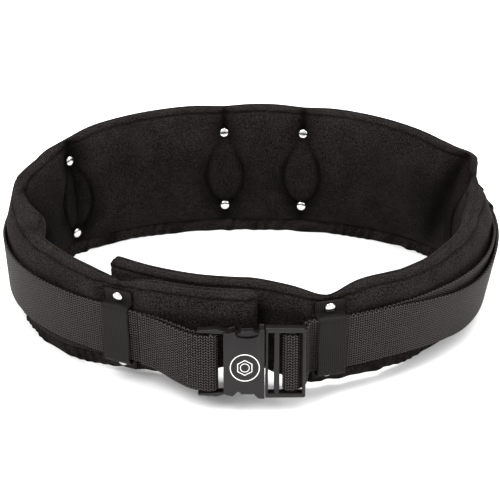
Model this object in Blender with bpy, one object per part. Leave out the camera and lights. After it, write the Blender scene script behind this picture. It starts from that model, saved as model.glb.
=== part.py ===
"""A padded tool belt: a foam waist pad, a 50 mm web held by six riveted keepers, and a side-release buckle.

Run it with: blender --background --python part.py
Lengths are in metres, +Z is up, the buckle faces -Y and the wearer's back is at +Y.
Angles round the waist are in degrees, from the middle of the back (0) over the left side (90) to the front (180).
Angles below 0 run the other way, over the right side to the front (-180) and on along the inner pad end.
"""

import math

import bmesh
import bpy
from mathutils import Matrix, Vector

# ---- driving dimensions: the waist ring ----
WAIST_HALF_WIDTH = 0.213
WAIST_BACK_DEPTH = 0.152
WAIST_FRONT_DEPTH = 0.160
BACK_ROUNDNESS = 2.2
FRONT_ROUNDNESS = 1.9
BACK_HALF_HEIGHT = 0.066
FRONT_HALF_HEIGHT = 0.0435
FRONT_CLIMB, FRONT_TOP_CLIMB, PINCHED_TOP_DROP = 0.0065, 0.0145, 0.008
LEAN_SIDE, LEAN_FRONT, LEAN_BACK = 3.0, 4.0, 6.0

# ---- pad ----
FOAM_HALF = 0.0072
FOAM_SHOULDER_HALF = 0.0060
FOAM_EDGE_HALF = 0.0020
FOAM_PINCH_HALF = 0.0020
FOAM_PINCH_MIDDLE_HALF = 0.0052
PINCH_FLAT, PINCH_END = 0.0145, 0.034
PINCH_BAND = 0.0068
CLOTH = 0.0010
GAP = 0.0003
HEM_HEIGHT = 0.010
HEM_HALF = 0.0015
TOP_BINDING_HEIGHT = 0.005
TOP_BINDING_HALF = 0.0030
LEFT_END, RIGHT_END = 182.0, -218.0
INNER_END_SHIFT = -0.0215
HINGE_ANGLE = 92.0
HINGE_GAP_ANGLE = 0.1
TAIL_GAP_ANGLE = 0.45

# ---- web and keepers ----
WEB_WIDTH = 0.0508
WEB_THICK = 0.0025
WEB_OFFSET = FOAM_HALF + CLOTH + 2 * GAP + 0.0006 + WEB_THICK / 2
LAYER = WEB_THICK + GAP
TAIL_BULGE = 0.0085
TAIL_BULGE_FROM, TAIL_BULGE_TO = -152.0, -84.0
TAIL_START, TAIL_SPLIT, TAIL_END = -165.6, -70.0, -50.0
KEEPER_WIDTH = 0.0254
KEEPER_THICK = 0.0013
KEEPER_END = 0.0065
FRONT_RIVET_REACH, REAR_RIVET_REACH = 0.0325, 0.038

# name: (angle, number of web layers beneath it)
KEEPERS = {
    "front_left": (148.4, 1),
    "rear_left": (53.2, 1),
    "back_left": (5.6, 1),
    "back_right": (-12.4, 1),
    "rear_right": (-77.0, 2),
    "front_right": (-161.2, 2),
}

# ---- rivets ----
RIVET_RADIUS = 0.00475
RIVET_DOME = 0.0018
POST_RADIUS = 0.0016
HOLE_RADIUS = 0.0020
RIVET_SIDES = 12

# ---- buckle, in its own frame: u to the wearer's left (+X), v up its height, w out towards the front ----
BUCKLE_AT = Vector((0.012, -0.1825, 0.0455))
BUCKLE_LEAN = 6.0
BODY_LENGTH = 0.034
BODY_HEIGHT = 0.0617
BODY_DEPTH = 0.0145
BODY_WALL = 0.0025
NOTCH = (-0.0255, -0.0045, 0.0060)
RAIL_REACH = 0.054
RAIL_HALF_INNER = 0.0277
BAR_U = -0.044
BAR_RADIUS = 0.0030
FRAME_END = 0.0341
FRAME_HEIGHT = 0.0640
FRAME_HALF_DEPTH = 0.0045
FRAME_WALL = (0.0005, 0.0026)
MIDDLE_BAR = (0.0076, 0.0124)
WEB_BAR = (0.0175, 0.0265)
WEB_BAR_HALF = 0.0015
WRAP_GAP = 0.0009
END_BAR = 0.0313
PRONG_HALF_DEPTH = 0.0040
PRONG_PIVOT = Vector((0.0020, 0.0240))

BLACK_CLOTH = (0.020, 0.019, 0.019, 1)
BLACK_WEB = (0.024, 0.023, 0.022, 1)
BLACK_PLASTIC = (0.028, 0.027, 0.028, 1)
NICKEL = (0.72, 0.70, 0.67, 1)
FOAM_GREY = (0.10, 0.10, 0.10, 1)


def clear_scene():
    for obj in list(bpy.data.objects):
        bpy.data.objects.remove(obj, do_unlink=True)


def material(name, colour, roughness, metallic=0.0):
    made = bpy.data.materials.new(name)
    made.use_nodes = True
    shader = made.node_tree.nodes["Principled BSDF"]
    shader.inputs["Base Color"].default_value = colour
    shader.inputs["Roughness"].default_value = roughness
    shader.inputs["Metallic"].default_value = metallic
    return made


def mesh_object(name, points, faces, look):
    """An object from points and faces, with its normals made to face out."""
    mesh = bpy.data.meshes.new(name)
    mesh.from_pydata([tuple(p) for p in points], [], faces)
    shape = bmesh.new()
    shape.from_mesh(mesh)
    bmesh.ops.recalc_face_normals(shape, faces=shape.faces)
    shape.to_mesh(mesh)
    shape.free()
    mesh.materials.append(look)
    obj = bpy.data.objects.new(name, mesh)
    bpy.context.scene.collection.objects.link(obj)
    return obj


def loft(name, loops, look):
    """A closed solid through loops of equally many points, with a flat cap on each end."""
    count = len(loops[0])
    points = [p for loop in loops for p in loop]
    faces = [tuple(range(count)), tuple(range(len(points) - count, len(points)))[::-1]]
    for row in range(len(loops) - 1):
        for side in range(count):
            a = row * count + side
            b = row * count + (side + 1) % count
            faces.append((a, b, b + count))
            faces.append((a, b + count, a + count))
    return mesh_object(name, points, faces, look)


# ---------------------------------------------------------------- the waist ring


def smooth(value, low, high):
    """0 below low, 1 above high, and an eased slope between them. low may be the larger."""
    t = min(1.0, max(0.0, (value - low) / (high - low)))
    return t * t * (3 - 2 * t)


def plan_point(angle):
    """The pad's middle line seen from above: a superellipse, rounder at the back than at the front."""
    s, c = math.sin(math.radians(angle)), math.cos(math.radians(angle))
    power = 2 / (BACK_ROUNDNESS if c > 0 else FRONT_ROUNDNESS)
    depth = WAIST_BACK_DEPTH if c > 0 else WAIST_FRONT_DEPTH
    x = -WAIST_HALF_WIDTH * math.copysign(abs(s) ** power, s)
    y = depth * math.copysign(abs(c) ** power, c)
    return Vector((x, y, 0))


def outward(angle):
    step = 0.5
    along = plan_point(angle + step) - plan_point(angle - step)
    across = Vector((along.y, -along.x, 0)).normalized()
    return across if across.dot(plan_point(angle)) > 0 else -across


def lean(angle):
    """How far the pad's wall leans out at the top, in radians."""
    c = math.cos(math.radians(angle))
    end = LEAN_BACK if c > 0 else LEAN_FRONT
    return math.radians(LEAN_SIDE + (end - LEAN_SIDE) * c * c)


def half_wall(angle):
    share = 0.5 + 0.5 * math.cos(math.radians(angle))
    return FRONT_HALF_HEIGHT + (BACK_HALF_HEIGHT - FRONT_HALF_HEIGHT) * share


def middle(angle):
    """The height of the web's middle line, which climbs a little towards the front."""
    return half_wall(angle) + FRONT_CLIMB * smooth(abs(angle), 105, 150)


def inner_end(angle):
    """0 on the ring, 1 on the right-hand pad end, which runs on inside the left-hand one."""
    return smooth(angle, -163.0, -181.0)


def belt_point(angle, z, offset=0.0):
    """The point at that angle and height, offset outwards from the pad's middle surface."""
    offset = offset + (z - middle(angle)) * math.tan(lean(angle))
    offset += INNER_END_SHIFT * inner_end(angle)
    at = plan_point(angle) + outward(angle) * offset
    return Vector((at.x, at.y, z))


def belt_up(angle):
    return (belt_point(angle, 0.1) - belt_point(angle, 0.0)).normalized()


def pad_bottom(angle):
    """The pad's lower edge: flat on the floor, and rising where the front ends narrow."""
    if angle > 0:
        return 0.0135 * smooth(angle, 125, 162) + 0.012 * smooth(angle, 158, 176)
    return 0.006 * smooth(angle, -130, -152) + 0.009 * inner_end(angle)


def pad_top(angle):
    """The pad's upper edge: lower towards the front, and drawn down a little by each front keeper."""
    top = 2 * half_wall(angle) + FRONT_TOP_CLIMB * smooth(abs(angle), 110, 160)
    top -= PINCHED_TOP_DROP * pinch(angle) * smooth(abs(angle), 100, 140)
    if angle > 0:
        return top - 0.010 * smooth(angle, 176, LEFT_END)
    return top - 0.012 * smooth(angle, RIGHT_END + 4, RIGHT_END)


def rivet_reach(angle):
    """From the web's middle line to a rivet's centre."""
    front = smooth(abs(angle), 95, 140)
    return REAR_RIVET_REACH + (FRONT_RIVET_REACH - REAR_RIVET_REACH) * front


def turn_for(angle, length):
    """The change of angle that goes that length along the pad, by the given angle."""
    return length / (plan_point(angle + 0.5) - plan_point(angle - 0.5)).length


def pinch(angle):
    """1 under a keeper, 0 a finger's width away from it."""
    share = 0.0
    for at, _ in KEEPERS.values():
        share = max(share, 1 - smooth(abs(angle - at), turn_for(at, PINCH_FLAT), turn_for(at, PINCH_END)))
    return share


def angles(start, end):
    """Stations from start to end: every 8 degrees, and closer by each keeper."""
    low, high = min(start, end), max(start, end)
    found = {start, end}
    found.update(a for a in range(-216, 182, 8) if low + 2 < a < high - 2)
    for at, _ in KEEPERS.values():
        near, far = turn_for(at, PINCH_FLAT), turn_for(at, PINCH_END)
        found = {a for a in found if abs(a - at) > far + 1 or a in (start, end)}
        found.update(at + side for side in (-far, -near, 0, near, far) if low < at + side < high)
    return sorted(found)


# ---------------------------------------------------------------- the pad


def foam_rows(angle):
    """(height, half thickness) up the foam at that angle."""
    low = pad_bottom(angle) + HEM_HEIGHT + 2 * GAP
    high = pad_top(angle) - TOP_BINDING_HEIGHT - 2 * GAP
    centre, reach, squeezed = middle(angle), rivet_reach(angle), pinch(angle)
    shoulder = FOAM_SHOULDER_HALF + (FOAM_PINCH_HALF - FOAM_SHOULDER_HALF) * squeezed
    belly = FOAM_HALF + (FOAM_PINCH_MIDDLE_HALF - FOAM_HALF) * squeezed
    lower = max(centre - reach, low + 0.0022)
    upper = min(centre + reach, high - 0.0022)
    step = 0.2 * (upper - lower)
    return [
        (low, FOAM_EDGE_HALF * (1 - 0.25 * squeezed)),
        (lower, shoulder),
        (lower + PINCH_BAND, shoulder + 0.0006 * (1 - squeezed)),
        (lower + step + 0.001, belly),
        (upper - step - 0.001, belly),
        (upper - PINCH_BAND, shoulder + 0.0006 * (1 - squeezed)),
        (upper, shoulder),
        (high, FOAM_EDGE_HALF),
    ]


def foam_loop(angle):
    rows = foam_rows(angle)
    outer = [belt_point(angle, z, half) for z, half in rows]
    inner = [belt_point(angle, z, -half) for z, half in reversed(rows)]
    return outer + inner


def cloth_loop(angle, side):
    """A sheet of cloth over the foam: side is 1 for the outer shell and -1 for the inner lining."""
    rows = foam_rows(angle)[::side]
    near = [belt_point(angle, z, side * (half + GAP)) for z, half in rows]
    far = [belt_point(angle, z, side * (half + GAP + CLOTH)) for z, half in reversed(rows)]
    return near + far


def band_loop(angle, low, high, half):
    corners = ((low, half), (high, half), (high, -half), (low, -half))
    return [belt_point(angle, z, offset) for z, offset in corners]


def make_pad(section, start, end, looks):
    at = angles(start, end)
    foam = loft(f"foam_core_{section}", [foam_loop(a) for a in at], looks["foam"])
    lining = loft(f"inner_lining_{section}", [cloth_loop(a, -1) for a in at], looks["cloth"])
    shell = loft(f"outer_shell_{section}", [cloth_loop(a, 1) for a in at], looks["cloth"])
    hems = [band_loop(a, pad_bottom(a), pad_bottom(a) + HEM_HEIGHT, HEM_HALF) for a in at]
    hem = loft(f"bottom_hem_{section}", hems, looks["tape"])
    tops = [band_loop(a, pad_top(a) - TOP_BINDING_HEIGHT, pad_top(a), TOP_BINDING_HALF) for a in at]
    loft(f"top_binding_{section}", tops, looks["tape"])
    return [foam, lining, shell, hem]


# ---------------------------------------------------------------- webbing


def buckle_matrix():
    """The buckle's frame: its columns are u, v and w."""
    tilt = math.radians(BUCKLE_LEAN)
    v = Vector((0, math.sin(tilt), math.cos(tilt)))
    w = Vector((0, -math.cos(tilt), math.sin(tilt)))
    turn = Matrix((Vector((1, 0, 0)), v, w)).transposed()
    return Matrix.Translation(BUCKLE_AT) @ turn.to_4x4()


BUCKLE = buckle_matrix()
BUCKLE_UP = Vector(BUCKLE.col[1][:3])


def buckle_station(u, w):
    return BUCKLE @ Vector((u, 0, w)), BUCKLE_UP


def ring_station(angle, offset):
    return belt_point(angle, middle(angle), offset), belt_up(angle)


def bridge(start, before, end, after, count=5):
    """Stations on a smooth curve from start to end. before and after give its direction at each end."""
    (p0, up0), (p3, up3) = start, end
    reach = (p3 - p0).length / 3
    p1 = p0 + before.normalized() * reach
    p2 = p3 - after.normalized() * reach
    found = []
    for i in range(1, count):
        t = i / count
        s = 1 - t
        at = p0 * s**3 + p1 * 3 * s * s * t + p2 * 3 * s * t * t + p3 * t**3
        found.append((at, up0.lerp(up3, t).normalized()))
    return found


def arc(u, w, radius, start, end, count=5):
    """Stations round a bar at (u, w), between two angles in degrees counted from +u towards +w."""
    turns = [math.radians(start + (end - start) * i / count) for i in range(count + 1)]
    return [buckle_station(u + radius * math.cos(a), w + radius * math.sin(a)) for a in turns]


def ribbon(name, stations, look, width=WEB_WIDTH, thick=WEB_THICK):
    """A flat web along stations of (middle point, up direction)."""
    loops = []
    for i, (at, up) in enumerate(stations):
        before = stations[max(i - 1, 0)][0]
        after = stations[min(i + 1, len(stations) - 1)][0]
        face = (after - before).normalized().cross(up).normalized()
        rise, out = up * (width / 2), face * (thick / 2)
        loops.append([at + rise + out, at + rise - out, at - rise - out, at - rise + out])
    return loft(name, loops, look)


def tail_offset(angle):
    """The loose tail lies on the web, and stands off it in one long wave over the hip."""
    share = (angle - TAIL_BULGE_FROM) / (TAIL_BULGE_TO - TAIL_BULGE_FROM)
    wave = math.sin(math.pi * share) ** 2 if 0 < share < 1 else 0.0
    return WEB_OFFSET + LAYER + TAIL_BULGE * wave


def ring_run(start, end, offset_at, step=3.0):
    count = max(2, round(abs(end - start) / step))
    stops = [start + (end - start) * i / count for i in range(count + 1)]
    return [ring_station(a, offset_at(a)) for a in stops]


def make_left_web(look):
    """From the hinge line forwards, round the buckle's bar and back over itself, where it is sewn."""
    radius = BAR_RADIUS + GAP + WEB_THICK / 2
    run = ring_run(HINGE_ANGLE + HINGE_GAP_ANGLE, 156, lambda a: WEB_OFFSET)
    behind = buckle_station(BAR_U - 0.004, -radius)
    front = buckle_station(BAR_U - 0.004, radius)
    back_end = ring_run(155.5, 152.8, lambda a: WEB_OFFSET + LAYER + 0.0010)
    forwards = run[-1][0] - run[-2][0]
    into = bridge(run[-1], forwards, behind, Vector((1, 0, 0)))
    away = bridge(front, Vector((-1, 0, 0)), back_end[0], -forwards)
    loop = arc(BAR_U, 0, radius, -90, 90, 6)
    return ribbon("web_left", run + into + [behind] + loop + [front] + away + back_end, look)


def make_right_web(look):
    """From the hinge line round the back to the buckle, over its web bar, and back outside as the tail."""
    run = ring_run(HINGE_ANGLE - HINGE_GAP_ANGLE, TAIL_START, lambda a: WEB_OFFSET)
    radius = WEB_BAR_HALF + WRAP_GAP + WEB_THICK / 2
    bar_left, bar_right = WEB_BAR[0] + WEB_BAR_HALF, WEB_BAR[1] - WEB_BAR_HALF
    beneath = buckle_station(bar_left + 0.006, -0.0068)
    turn_in = buckle_station(bar_left - 0.0008, -0.0052)
    over = arc(bar_left, 0, radius, 200, 90, 4) + arc(bar_right, 0, radius, 90, 0, 4)
    out = buckle_station(END_BAR - 0.0004, -0.0044)
    tail = ring_run(TAIL_START, TAIL_SPLIT - TAIL_GAP_ANGLE, tail_offset)
    leftwards = run[-1][0] - run[-2][0]
    into = bridge(run[-1], leftwards, beneath, Vector((-1, 0, 0)))
    away = bridge(out, Vector((1, 0, -0.1)), tail[0], tail[1][0] - tail[0][0], 4)
    stations = run + into + [beneath, turn_in] + over + [out] + away + tail
    return ribbon("web_right_with_tail", stations, look)


def make_tail_end(look):
    stations = ring_run(TAIL_SPLIT + TAIL_GAP_ANGLE, TAIL_END, tail_offset)
    return ribbon("web_tail_end", stations, look)


def keeper_line(angle, layers):
    """(height, offset) of the keeper's inner face, from its top end down to its bottom end."""
    centre, reach = middle(angle), rivet_reach(angle)
    low = FOAM_PINCH_HALF + GAP + CLOTH + GAP + 0.0002
    high = WEB_OFFSET + (layers - 1) * LAYER + WEB_THICK / 2 + GAP + 0.0002
    rise = WEB_WIDTH / 2
    foot = max(rise + 0.0006, reach - RIVET_RADIUS - GAP - KEEPER_THICK - 0.0009)
    rows = [(reach + KEEPER_END, low), (foot, low), (rise + 0.0004, high)]
    return [(centre + z, o) for z, o in rows] + [(centre - z, o) for z, o in reversed(rows)]


def thickened(line, thick):
    """The line, and the same line moved by that thickness to its outer side, as one closed outline."""
    outer = []
    for i, (z, o) in enumerate(line):
        before, after = line[max(i - 1, 0)], line[min(i + 1, len(line) - 1)]
        into = Vector((z - before[0], o - before[1])) if i else Vector((after[0] - z, after[1] - o))
        out_of = Vector((after[0] - z, after[1] - o)) if i + 1 < len(line) else into
        normals = [Vector((d.y, -d.x)).normalized() for d in (into, out_of)]
        mitre = (normals[0] + normals[1]).normalized()
        shift = mitre * thick / mitre.dot(normals[0])
        outer.append((z + shift.x, o + shift.y))
    return outer + line[::-1]


def keeper_loop(angle, layers):
    outline = thickened(keeper_line(angle, layers), KEEPER_THICK)
    return [belt_point(angle, z, offset) for z, offset in outline]


def make_keeper(name, angle, layers, look):
    half = turn_for(angle, KEEPER_WIDTH / 2)
    stops = [angle - half, angle, angle + half]
    return loft(f"keeper_{name}", [keeper_loop(a, layers) for a in stops], look)


# ---------------------------------------------------------------- rivets


def turned(name, profile, look, sides=RIVET_SIDES):
    """A solid turned round +Z from (radius, height) points, where the first and last are on the axis."""
    points = [Vector((0, 0, profile[0][1]))]
    for radius, height in profile[1:-1]:
        for i in range(sides):
            a = 2 * math.pi * i / sides
            points.append(Vector((radius * math.cos(a), radius * math.sin(a), height)))
    points.append(Vector((0, 0, profile[-1][1])))
    last, rings = len(points) - 1, len(profile) - 2
    faces = []
    for i in range(sides):
        j = (i + 1) % sides
        faces.append((0, 1 + j, 1 + i))
        for ring in range(rings - 1):
            a, b = 1 + ring * sides + i, 1 + ring * sides + j
            faces.append((a, b, b + sides, a + sides))
        faces.append((last - sides + i, last - sides + j, last))
    return mesh_object(name, points, faces, look)


def rivet_frame(angle, z, offset):
    """A frame on the belt whose +Z points outwards."""
    out = (belt_point(angle, z, 0.01) - belt_point(angle, z, 0)).normalized()
    up = belt_up(angle)
    side = up.cross(out).normalized()
    face = side.cross(up)
    turn = Matrix((side, up, face)).transposed().to_4x4()
    return Matrix.Translation(belt_point(angle, z) + face * offset) @ turn


def cutter(name, radius, length, frame):
    tool = turned(name, [(0, -length), (radius, -length), (radius, length), (0, length)], None, 8)
    tool.matrix_world = frame
    tool.hide_render = True
    tool.display_type = "WIRE"
    return tool


def cut(target, tool):
    hole = target.modifiers.new(f"hole_{tool.name}", "BOOLEAN")
    hole.operation = "DIFFERENCE"
    hole.object = tool


def make_rivet(name, angle, z, pierced, look):
    """A double-cap rivet: an outer head with its post, and an inner cap pressed on the post's end."""
    outer_face = keeper_line(angle, 1)[0][1] + KEEPER_THICK + GAP
    inner_face = -(FOAM_PINCH_HALF + GAP + CLOTH + GAP + 0.0002)
    length = outer_face - inner_face
    head = turned(
        f"rivet_head_{name}",
        [
            (0, -length - 0.0002),
            (POST_RADIUS, -length - 0.0002),
            (POST_RADIUS, 0),
            (RIVET_RADIUS, 0),
            (RIVET_RADIUS, RIVET_DOME * 0.35),
            (RIVET_RADIUS * 0.78, RIVET_DOME * 0.8),
            (0, RIVET_DOME),
        ],
        look,
    )
    head.matrix_world = rivet_frame(angle, z, outer_face)
    cap = turned(
        f"rivet_cap_{name}",
        [
            (0, -RIVET_DOME),
            (RIVET_RADIUS * 0.78, -RIVET_DOME * 0.8),
            (RIVET_RADIUS, -RIVET_DOME * 0.35),
            (RIVET_RADIUS, 0),
            (POST_RADIUS + 0.0002, 0),
            (POST_RADIUS + 0.0002, -0.0006),
            (0, -0.0006),
        ],
        look,
    )
    cap.matrix_world = rivet_frame(angle, z, inner_face)
    tool = cutter(f"cut_{name}", HOLE_RADIUS, 0.016, rivet_frame(angle, z, 0))
    for sheet in pierced:
        cut(sheet, tool)


# ---------------------------------------------------------------- buckle


def box(name, u, v, w, look=None):
    """A box in the buckle's frame from (low, high) pairs."""
    corners = [Vector((a, b, c)) for a in u for b in v for c in w]
    faces = [(0, 1, 3, 2), (4, 6, 7, 5), (0, 4, 5, 1), (2, 3, 7, 6), (0, 2, 6, 4), (1, 5, 7, 3)]
    obj = mesh_object(name, corners, faces, look)
    obj.matrix_world = BUCKLE
    return obj


def prism(name, outline, w, look=None):
    """An outline in (u, v), extruded between two depths w, in the buckle's frame."""
    loops = [[Vector((u, v, depth)) for u, v in outline] for depth in w]
    obj = loft(name, loops, look)
    obj.matrix_world = BUCKLE
    return obj


def helper(obj):
    obj.hide_render = True
    obj.display_type = "WIRE"
    return obj


def combine(target, operation, tools):
    for tool in tools:
        helper(tool)
        step = target.modifiers.new(f"{operation.lower()}_{tool.name}", "BOOLEAN")
        step.operation = operation
        step.object = tool


def make_female(look):
    """The hollow latch body, with two rails and the bar that the left web loops round."""
    half, deep = BODY_HEIGHT / 2, BODY_DEPTH / 2
    chamfer = 0.0016
    outline = [
        (-BODY_LENGTH, -half + chamfer),
        (-BODY_LENGTH + chamfer, -half),
        (-chamfer / 2, -half),
        (0, -half + chamfer / 2),
        (0, half - chamfer / 2),
        (-chamfer / 2, half),
        (-BODY_LENGTH + chamfer, half),
        (-BODY_LENGTH, half - chamfer),
    ]
    body = prism("buckle_female_body", outline, (-deep, deep), look)
    inside = BODY_WALL - BODY_LENGTH, 0.01
    room = box("cut_room", inside, (-half + BODY_WALL, half - BODY_WALL), (-PRONG_HALF_DEPTH - 0.0006, PRONG_HALF_DEPTH + 0.0006))
    left, right, depth = NOTCH
    tools = [room]
    for side, name in ((1, "top"), (-1, "bottom")):
        notch = [
            (left, side * (half + 0.004)),
            (left, side * half),
            (left + 0.0045, side * (half - depth)),
            (right - 0.0045, side * (half - depth)),
            (right, side * half),
            (right, side * (half + 0.004)),
        ]
        tools.append(prism(f"cut_notch_{name}", notch[::side], (-0.012, 0.012)))
    combine(body, "DIFFERENCE", tools)
    rails = []
    for side, name in ((1, "top"), (-1, "bottom")):
        rail = [
            (-BODY_LENGTH + 0.003, side * RAIL_HALF_INNER),
            (-RAIL_REACH, side * RAIL_HALF_INNER),
            (-RAIL_REACH, side * (RAIL_HALF_INNER + 0.0022)),
            (-BODY_LENGTH + 0.003, side * (half - 0.0002)),
        ]
        rails.append(prism(f"join_rail_{name}", rail[::side], (-0.0042, 0.0036)))
    reach = RAIL_HALF_INNER + 0.001
    rod = turned("join_bar", [(0, -reach), (BAR_RADIUS, -reach), (BAR_RADIUS, reach), (0, reach)], None, 10)
    rod.matrix_world = BUCKLE @ Matrix.Translation((BAR_U, 0, 0)) @ Matrix.Rotation(math.radians(-90), 4, "X")
    combine(body, "UNION", rails + [rod])
    return body


def make_male_frame(look):
    """The ladder frame: an end wall that meets the latch body, two rails and the bars that hold the web."""
    half, inner, deep = FRAME_HEIGHT / 2, RAIL_HALF_INNER, FRAME_HALF_DEPTH
    frame = box("buckle_male_frame", (FRAME_WALL[0], FRAME_END), (-half, half), (-deep, deep), look)
    window = box("cut_window", (FRAME_WALL[1], END_BAR), (-inner, inner), (-0.02, 0.02))
    behind = box("cut_behind", (END_BAR - 0.002, 0.05), (-inner, inner), (-0.02, -0.0014))
    combine(frame, "DIFFERENCE", [window, behind])
    reach = inner + 0.001
    middle = box("join_middle_bar", MIDDLE_BAR, (-reach, reach), (-0.0004, deep - 0.0004))
    left, right, thick = *WEB_BAR, WEB_BAR_HALF
    rounded = [
        (left, 0),
        (left + 0.0006, thick),
        (right - 0.0006, thick),
        (right, 0),
        (right - 0.0006, -thick),
        (left + 0.0006, -thick),
    ]
    loops = [[Vector((u, v, w)) for u, w in rounded] for v in (-reach, reach)]
    web_bar = loft("join_web_bar", loops, None)
    web_bar.matrix_world = BUCKLE
    combine(frame, "UNION", [middle, web_bar])
    return frame


def make_prong(name, side, look):
    """A spring arm: it runs in under the mouth's rim, steps out behind it, and tapers to its tip."""
    outline = [
        (-0.0002, 0.0215),
        (-0.0002, 0.0275),
        (-0.0066, 0.0275),
        (-0.0074, 0.0296),
        (-0.0200, 0.0296),
        (-0.0240, 0.0268),
        (-0.0302, 0.0236),
        (-0.0302, 0.0200),
        (-0.0240, 0.0208),
        (-0.0120, 0.0240),
    ]
    points = [(u, side * v) for u, v in outline]
    return prism(name, points[::side], (-PRONG_HALF_DEPTH, PRONG_HALF_DEPTH), look)


# ---------------------------------------------------------------- the whole belt


def centre_on_floor():
    """Moves the whole belt so that its origin is the middle of its box, on the floor."""
    bpy.context.view_layer.update()
    graph = bpy.context.evaluated_depsgraph_get()
    low, high = Vector((9, 9, 9)), Vector((-9, -9, -9))
    for obj in bpy.data.objects:
        if obj.type != "MESH" or obj.hide_render:
            continue
        shape = obj.evaluated_get(graph)
        for vertex in shape.data.vertices:
            at = shape.matrix_world @ vertex.co
            low = Vector(map(min, low, at))
            high = Vector(map(max, high, at))
    shift = Matrix.Translation((-(low.x + high.x) / 2, -(low.y + high.y) / 2, -low.z))
    for obj in bpy.data.objects:
        obj.matrix_world = shift @ obj.matrix_world
    return shift.translation


def main():
    clear_scene()
    looks = {
        "cloth": material("black_canvas", BLACK_CLOTH, 0.85),
        "tape": material("black_binding", BLACK_CLOTH, 0.75),
        "web": material("black_webbing", BLACK_WEB, 0.6),
        "foam": material("grey_foam", FOAM_GREY, 0.95),
        "plastic": material("black_acetal", BLACK_PLASTIC, 0.35),
        "metal": material("nickel_plate", NICKEL, 0.2, 1.0),
    }
    back = make_pad("main", HINGE_ANGLE - HINGE_GAP_ANGLE, RIGHT_END, looks)
    front = make_pad("left", HINGE_ANGLE + HINGE_GAP_ANGLE, LEFT_END, looks)
    make_left_web(looks["web"])
    make_right_web(looks["web"])
    make_tail_end(looks["web"])
    for name, (angle, layers) in KEEPERS.items():
        keeper = make_keeper(name, angle, layers, looks["web"])
        pad = front if angle > HINGE_ANGLE else back
        for end, way in (("top", 1), ("bottom", -1)):
            z = middle(angle) + way * rivet_reach(angle)
            make_rivet(f"{name}_{end}", angle, z, [*pad, keeper], looks["metal"])
    make_female(looks["plastic"])
    make_male_frame(looks["plastic"])
    make_prong("buckle_prong_upper", 1, looks["plastic"])
    make_prong("buckle_prong_lower", -1, looks["plastic"])
    return centre_on_floor()


ORIGIN_SHIFT = main()
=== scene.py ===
"""The tool belt as it looks: a stuffed pad, webbing, ribbed keepers, domed rivets and a moulded buckle.

Lengths are in metres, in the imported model's frame: +Z up, the buckle faces -Y, the wearer's back is at +Y.
Angles round the waist are in degrees: 0 at the middle of the back, 90 over the left hip, 180 at the front,
and negative over the right hip and on along the inner pad end.
"""

import math

import bmesh
import bpy
import numpy as np
from mathutils import Matrix, Vector


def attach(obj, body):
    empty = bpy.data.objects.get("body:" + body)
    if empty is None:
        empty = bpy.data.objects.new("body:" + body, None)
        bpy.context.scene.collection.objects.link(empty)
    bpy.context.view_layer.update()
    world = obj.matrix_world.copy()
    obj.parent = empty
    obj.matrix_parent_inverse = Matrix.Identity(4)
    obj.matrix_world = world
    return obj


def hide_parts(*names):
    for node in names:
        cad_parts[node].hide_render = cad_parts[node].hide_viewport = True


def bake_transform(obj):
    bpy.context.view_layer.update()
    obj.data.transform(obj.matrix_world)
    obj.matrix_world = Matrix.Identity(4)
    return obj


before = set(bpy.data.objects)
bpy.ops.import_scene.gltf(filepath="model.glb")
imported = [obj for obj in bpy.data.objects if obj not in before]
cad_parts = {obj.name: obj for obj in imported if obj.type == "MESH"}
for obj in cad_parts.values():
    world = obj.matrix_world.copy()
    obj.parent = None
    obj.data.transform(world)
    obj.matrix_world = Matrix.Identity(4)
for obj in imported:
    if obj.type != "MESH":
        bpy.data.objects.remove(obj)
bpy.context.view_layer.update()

# ---- the waist ring, as in the CAD model ----
RING_CENTRE = np.array((-0.001943, 0.012294, 0.0))
HALF_WIDTH, BACK_DEPTH, FRONT_DEPTH = 0.213, 0.152, 0.160
BACK_ROUNDNESS, FRONT_ROUNDNESS = 2.2, 1.9
BACK_HALF_HEIGHT, FRONT_HALF_HEIGHT = 0.066, 0.0435
FRONT_CLIMB, FRONT_TOP_CLIMB = 0.0065, 0.0145
LEAN_SIDE, LEAN_FRONT, LEAN_BACK = 3.0, 4.0, 6.0
INNER_END_SHIFT = -0.0215
HIP_LEAN, HIP_CLOSER = 6.5, 0.004
LEFT_END, RIGHT_END = 182.0, -218.0
FRONT_RIVET_REACH, REAR_RIVET_REACH = 0.0325, 0.038

# ---- pad ----
HEM = 0.0125
HEM_HALF = 0.0015
PAD_HALF = 0.0088
PAD_PUFF = 0.0026
PINCHED_HALF = 0.0030
LUMP_HEIGHT = 0.00045
LINING_PUFF = 0.0032
PAD_STEP = 0.55
END_ROUNDING = 3.125
SEAM_DEPTH, SEAM_BELOW_TOP = 0.0012, 0.0050
THINNEST_HALF = 0.0008
SPLIT = 53.2
# Creases inside the pad: angle, how many degrees they slant over the height, depth, reach to each side
HIP_FOLDS = (
    (75.0, 24.0, 0.0085, 0.010),
    (53.2, 0.0, 0.0050, 0.010),
    (118.0, -14.0, 0.0045, 0.007),
    (-61.0, -14.0, 0.0095, 0.011),
    (-100.0, 26.0, 0.0060, 0.008),
)
# The lining bulges inwards beside them: angle, slant, height, reach to each side
HIP_BULGES = (
    (93.0, 14.0, 0.0100, 0.018),
    (107.0, -8.0, 0.0070, 0.014),
    (-84.0, -8.0, 0.0080, 0.022),
)
# How far in the top edge leans at each angle
TUCK_ANGLES = (-142, -122, -100, -87, -77, -70, -64, -55, 53, 68, 79, 83, 100, 125, 142)
TUCK_DEPTHS = (0, 0.012, 0.017, 0.010, 0.003, -0.0055, -0.0025, 0, 0, 0.0055, 0.0015, 0.004, 0.010, 0.008, 0)
CORNER_AT, CORNER_RISE = -69.5, 0.0050

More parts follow.
